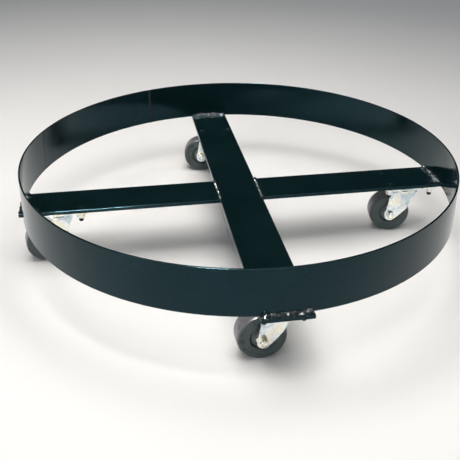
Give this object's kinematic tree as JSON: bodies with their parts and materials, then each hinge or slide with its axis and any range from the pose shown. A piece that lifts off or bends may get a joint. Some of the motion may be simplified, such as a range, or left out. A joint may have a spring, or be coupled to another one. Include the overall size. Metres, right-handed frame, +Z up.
{
  "type": "ring dolly",
  "caption": "Low round dolly: a rolled steel band on a cross of flat bars that holds a drum, on plate-mounted swivel casters.",
  "frame": {"origin": "on the floor under the centre of the ring", "axes": "+Z up; the through bar lies along Y and the two half bars along X; -Y is the front"},
  "size_m": [0.774, 0.774, 0.1841],
  "materials": {
    "black_paint": "gloss black enamel over rolled and welded flat bar",
    "black_oxide": "black screws, heads painted over with the frame",
    "zinc_plate": "bright zinc plate on pressed steel",
    "bright_steel": "polished bearing steel",
    "hard_rubber": "moulded hard rubber, satin",
    "sintered_bronze": "oiled sintered bronze"
  },
  "bodies": {
    "frame": {"ring_band": "black_paint", "ring_filler_piece": "black_paint", "through_bar": "black_paint", "cross_bar_left": "black_paint", "cross_bar_right": "black_paint", "ring_welds": "black_paint", "cross_welds": "black_paint", "seam_welds": "black_paint", "plate_bolts": "black_oxide", "plate_lock_washers": "zinc_plate", "plate_nuts": "zinc_plate", "top_plate_front": "zinc_plate", "kingpin_front": "zinc_plate", "lower_race_front": "zinc_plate", "top_plate_right": "zinc_plate", "kingpin_right": "zinc_plate", "lower_race_right": "zinc_plate", "top_plate_back": "zinc_plate", "kingpin_back": "zinc_plate", "lower_race_back": "zinc_plate", "top_plate_left": "zinc_plate", "kingpin_left": "zinc_plate", "lower_race_left": "zinc_plate"},
    "swivel_assembly_front": {"fork_front": "zinc_plate", "upper_balls_front": "bright_steel", "lower_balls_front": "bright_steel", "axle_bolt_front": "zinc_plate", "axle_nut_front": "zinc_plate", "axle_sleeve_front": "bright_steel", "thrust_washers_front": "zinc_plate"},
    "wheel_assembly_front": {"wheel_front": "hard_rubber", "hub_bush_front": "sintered_bronze"},
    "swivel_assembly_right": {"fork_right": "zinc_plate", "upper_balls_right": "bright_steel", "lower_balls_right": "bright_steel", "axle_bolt_right": "zinc_plate", "axle_nut_right": "zinc_plate", "axle_sleeve_right": "bright_steel", "thrust_washers_right": "zinc_plate"},
    "wheel_assembly_right": {"wheel_right": "hard_rubber", "hub_bush_right": "sintered_bronze"},
    "swivel_assembly_back": {"fork_back": "zinc_plate", "upper_balls_back": "bright_steel", "lower_balls_back": "bright_steel", "axle_bolt_back": "zinc_plate", "axle_nut_back": "zinc_plate", "axle_sleeve_back": "bright_steel", "thrust_washers_back": "zinc_plate"},
    "wheel_assembly_back": {"wheel_back": "hard_rubber", "hub_bush_back": "sintered_bronze"},
    "swivel_assembly_left": {"fork_left": "zinc_plate", "upper_balls_left": "bright_steel", "lower_balls_left": "bright_steel", "axle_bolt_left": "zinc_plate", "axle_nut_left": "zinc_plate", "axle_sleeve_left": "bright_steel", "thrust_washers_left": "zinc_plate"},
    "wheel_assembly_left": {"wheel_left": "hard_rubber", "hub_bush_left": "sintered_bronze"}
  },
  "joints": [
    {"name": "swivel_front", "type": "hinge", "parent": "frame", "child": "swivel_assembly_front", "pos_m": [0, -0.323, 0.0896], "axis": [0, 0, 1], "continuous": true},
    {"name": "roll_front", "type": "hinge", "parent": "swivel_assembly_front", "child": "wheel_assembly_front", "pos_m": [-0.02449, -0.32386, 0.0381], "axis": [0.0349, -0.9994, 0], "continuous": true},
    {"name": "swivel_right", "type": "hinge", "parent": "frame", "child": "swivel_assembly_right", "pos_m": [0.323, 0, 0.0896], "axis": [0, 0, 1], "continuous": true},
    {"name": "roll_right", "type": "hinge", "parent": "swivel_assembly_right", "child": "wheel_assembly_right", "pos_m": [0.29887, 0.00425, 0.0381], "axis": [-0.1736, -0.9848, 0], "continuous": true},
    {"name": "swivel_back", "type": "hinge", "parent": "frame", "child": "swivel_assembly_back", "pos_m": [0, 0.323, 0.0896], "axis": [0, 0, 1], "continuous": true},
    {"name": "roll_back", "type": "hinge", "parent": "swivel_assembly_back", "child": "wheel_assembly_back", "pos_m": [-0.02426, 0.32641, 0.0381], "axis": [-0.1392, -0.9903, 0], "continuous": true},
    {"name": "swivel_left", "type": "hinge", "parent": "frame", "child": "swivel_assembly_left", "pos_m": [-0.323, 0, 0.0896], "axis": [0, 0, 1], "continuous": true},
    {"name": "roll_left", "type": "hinge", "parent": "swivel_assembly_left", "child": "wheel_assembly_left", "pos_m": [-0.34713, -0.00425, 0.0381], "axis": [0.1736, -0.9848, 0], "continuous": true}
  ]
}
